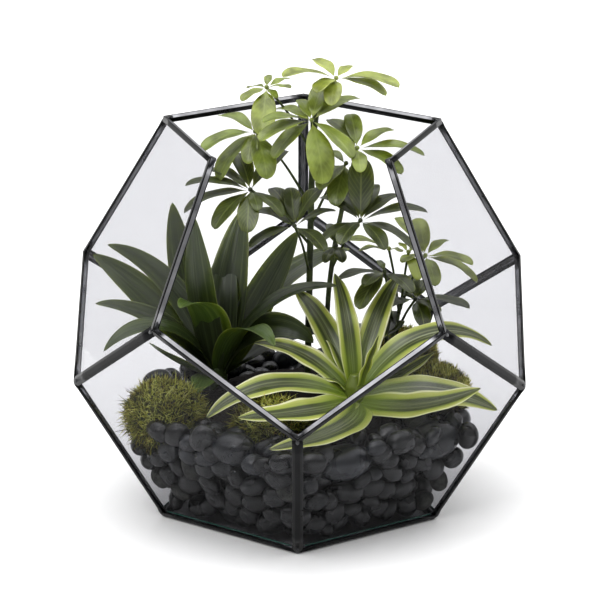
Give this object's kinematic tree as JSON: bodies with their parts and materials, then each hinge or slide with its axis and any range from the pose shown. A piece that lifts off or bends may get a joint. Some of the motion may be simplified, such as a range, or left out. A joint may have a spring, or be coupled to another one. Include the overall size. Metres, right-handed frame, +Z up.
{
  "type": "glass plant terrarium",
  "caption": "Standing geometric glass terrarium in dark soldered came, open at the top and front, planted with dracaenas, an umbrella tree and moss over river pebbles.",
  "frame": {"origin": "on the surface that it stands on, under the middle of the body", "axes": "+Z up, the open front towards -Y, +X to the right seen from the front"},
  "size_m": [0.333, 0.3511, 0.3311],
  "materials": {
    "came": "satin",
    "glass": "gloss",
    "pebble": "satin",
    "moss": "matte",
    "soil": "matte",
    "leaf_green": "satin",
    "leaf_striped": "satin",
    "leaf_umbrella": "satin"
  },
  "bodies": {
    "root": {"base_bar_1": "came", "lower_bar_1": "came", "girdle_bar_1": "came", "girdle_bar_2": "came", "upper_bar_1": "came", "base_bar_2": "came", "lower_bar_2": "came", "girdle_bar_3": "came", "girdle_bar_4": "came", "upper_bar_2": "came", "base_bar_3": "came", "lower_bar_3": "came", "girdle_bar_5": "came", "girdle_bar_6": "came", "upper_bar_3": "came", "base_bar_4": "came", "lower_bar_4": "came", "girdle_bar_7": "came", "girdle_bar_8": "came", "upper_bar_4": "came", "base_bar_5": "came", "lower_bar_5": "came", "girdle_bar_9": "came", "girdle_bar_10": "came", "upper_bar_5": "came", "rim_bar_1": "came", "rim_bar_2": "came", "rim_bar_3": "came", "rim_bar_4": "came", "pane_bottom": "glass", "pane_lower_1": "glass", "pane_lower_2": "glass", "pane_lower_3": "glass", "pane_lower_4": "glass", "pane_lower_5": "glass", "pane_upper_1": "glass", "pane_upper_2": "glass", "pane_upper_3": "glass", "pane_upper_4": "glass", "stone_front": "pebble", "stone_front_left": "pebble", "stone_right": "pebble", "stone_back_left": "pebble", "stone_back_right": "pebble", "pebble_bed": "pebble", "moss_left": "moss", "moss_right": "moss", "moss_front": "moss", "moss_back_right": "moss", "soil": "soil", "dracaena_green": "leaf_green", "dracaena_striped": "leaf_striped", "umbrella_main_stem": "leaf_umbrella", "umbrella_second_stem": "leaf_umbrella", "umbrella_seedling": "leaf_umbrella"}
  },
  "joints": []
}
